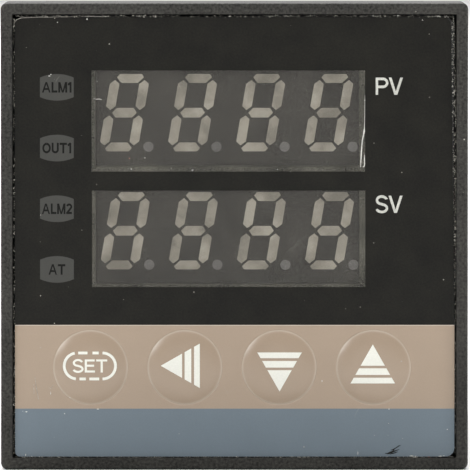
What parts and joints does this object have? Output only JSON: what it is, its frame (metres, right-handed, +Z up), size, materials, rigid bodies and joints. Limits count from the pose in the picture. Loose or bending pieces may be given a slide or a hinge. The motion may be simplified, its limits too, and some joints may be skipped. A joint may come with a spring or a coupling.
{
  "type": "panel temperature controller",
  "caption": "Square panel-mounted digital temperature controller with two digit displays, indicator lamps, touch keys, a draw-out chassis and a rear screw terminal block.",
  "frame": {"origin": "centre of the square panel cut-out, in the plane of the flange's rear face that seats on the panel", "axes": "+Y into the panel, so the display faces -Y; +Z up; +X to the right as seen from the front"},
  "size_m": [0.048, 0.11, 0.048],
  "materials": {
    "case_plastic": "moulded, fine grain",
    "block_plastic": "moulded, fine grain",
    "screw_steel": "zinc plated",
    "contact_brass": "tinned brass",
    "panel_plastic": "moulded",
    "front_print": "printed polyester, satin",
    "display_face": "dark painted face, pale shell",
    "display_resin": "milky resin",
    "lamp_resin": "milky resin",
    "circuit_board": "green solder mask",
    "header_plastic": "moulded",
    "switch_plastic": "moulded",
    "switch_steel": "stamped",
    "plunger_plastic": "moulded",
    "spring_steel": "stamped",
    "core_steel": "laminated, varnished",
    "coil_tape": "yellow tape",
    "capacitor_sleeve": "shrink sleeve",
    "film_capacitor_case": "moulded box",
    "varistor_coat": "dipped epoxy",
    "fuse_case": "moulded box",
    "relay_case": "moulded box",
    "chip_plastic": "moulded"
  },
  "bodies": {
    "case": {"case_housing": "case_plastic", "terminal_block": "block_plastic", "terminal_contact_1": "contact_brass", "terminal_contact_10": "contact_brass", "terminal_contact_2": "contact_brass", "terminal_contact_3": "contact_brass", "terminal_contact_4": "contact_brass", "terminal_contact_5": "contact_brass", "terminal_contact_6": "contact_brass", "terminal_contact_7": "contact_brass", "terminal_contact_8": "contact_brass", "terminal_contact_9": "contact_brass", "terminal_screws": "screw_steel"},
    "chassis": {"alarm_1_lamp": "lamp_resin", "alarm_2_lamp": "lamp_resin", "alarm_relay": "relay_case", "bulk_capacitor": "capacitor_sleeve", "control_board": "circuit_board", "control_header": "header_plastic", "controller_chip": "chip_plastic", "display_board": "circuit_board", "down_switch_base": "switch_plastic", "down_switch_cover": "switch_steel", "down_switch_spring": "spring_steel", "film_capacitor": "film_capacitor_case", "front_film": "front_print", "front_panel": "panel_plastic", "fuse": "fuse_case", "optocoupler": "chip_plastic", "output_capacitor": "capacitor_sleeve", "output_lamp": "lamp_resin", "output_relay": "relay_case", "power_board": "circuit_board", "power_header": "header_plastic", "pv_display_resin": "display_resin", "pv_display_shell": "display_face", "set_switch_base": "switch_plastic", "set_switch_cover": "switch_steel", "set_switch_spring": "spring_steel", "shift_switch_base": "switch_plastic", "shift_switch_cover": "switch_steel", "shift_switch_spring": "spring_steel", "sv_display_resin": "display_resin", "sv_display_shell": "display_face", "transformer_bobbin": "header_plastic", "transformer_coil": "coil_tape", "transformer_core": "core_steel", "tuning_lamp": "lamp_resin", "up_switch_base": "switch_plastic", "up_switch_cover": "switch_steel", "up_switch_spring": "spring_steel", "varistor": "varistor_coat"},
    "set_key": {"set_plunger": "plunger_plastic"},
    "shift_key": {"shift_plunger": "plunger_plastic"},
    "down_key": {"down_plunger": "plunger_plastic"},
    "up_key": {"up_plunger": "plunger_plastic"}
  },
  "joints": [
    {"name": "chassis_draw", "type": "slide", "parent": "case", "child": "chassis", "axis": [0, -1, 0], "range_m": [0, 0.078]},
    {"name": "set_press", "type": "slide", "parent": "chassis", "child": "set_key", "axis": [0, 1, 0], "range_m": [0, 0.00025], "stiffness_N_per_m": 5000, "deforming": ["set_switch_spring"]},
    {"name": "shift_press", "type": "slide", "parent": "chassis", "child": "shift_key", "axis": [0, 1, 0], "range_m": [0, 0.00025], "stiffness_N_per_m": 5000, "deforming": ["shift_switch_spring"]},
    {"name": "down_press", "type": "slide", "parent": "chassis", "child": "down_key", "axis": [0, 1, 0], "range_m": [0, 0.00025], "stiffness_N_per_m": 5000, "deforming": ["down_switch_spring"]},
    {"name": "up_press", "type": "slide", "parent": "chassis", "child": "up_key", "axis": [0, 1, 0], "range_m": [0, 0.00025], "stiffness_N_per_m": 5000, "deforming": ["up_switch_spring"]}
  ]
}
